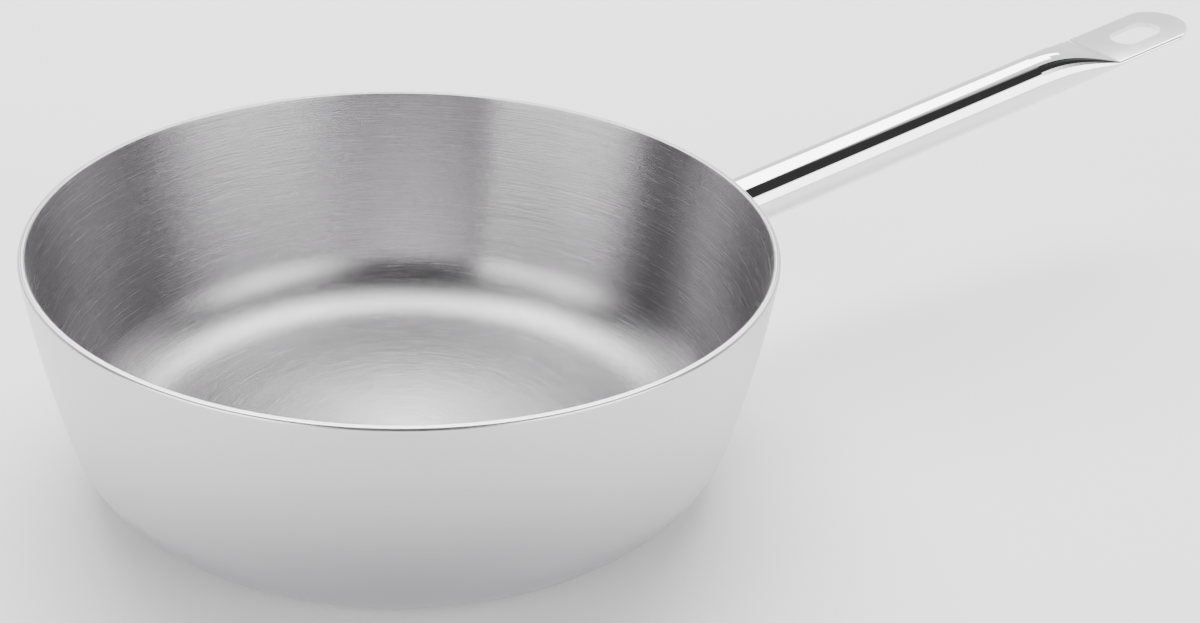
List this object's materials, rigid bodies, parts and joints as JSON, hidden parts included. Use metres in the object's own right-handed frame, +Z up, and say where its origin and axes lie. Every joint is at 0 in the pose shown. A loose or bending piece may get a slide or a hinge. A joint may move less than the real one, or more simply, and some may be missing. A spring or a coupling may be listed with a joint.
{
  "type": "saucier pan",
  "caption": "Conical saucier pan of clad steel sheet with a gently bulged wall, a rounded base corner and a tubular handle pressed flat into a tab with a hanging hole.",
  "frame": {"origin": "centre of the flat base's underside, on the pan's axis", "axes": "+Z up out of the bowl, +X along the handle"},
  "size_m": [0.4792, 0.2398, 0.0941],
  "materials": {
    "inner_layer": "brushed round the pan's axis",
    "aluminium_core": "satin, shows only as a line at the rim",
    "outer_layer": "fine satin",
    "handle_plate": "satin",
    "spot_welds": "melted steel, sealed in",
    "handle_tube": "mirror polished steel",
    "handle_weld_bead": "ground weld"
  },
  "bodies": {
    "root": {"inner_layer": "inner_layer", "aluminium_core": "aluminium_core", "outer_layer": "outer_layer", "handle_plate": "handle_plate", "spot_welds": "spot_welds", "handle_tube": "handle_tube", "handle_weld_bead": "handle_weld_bead"}
  },
  "joints": []
}
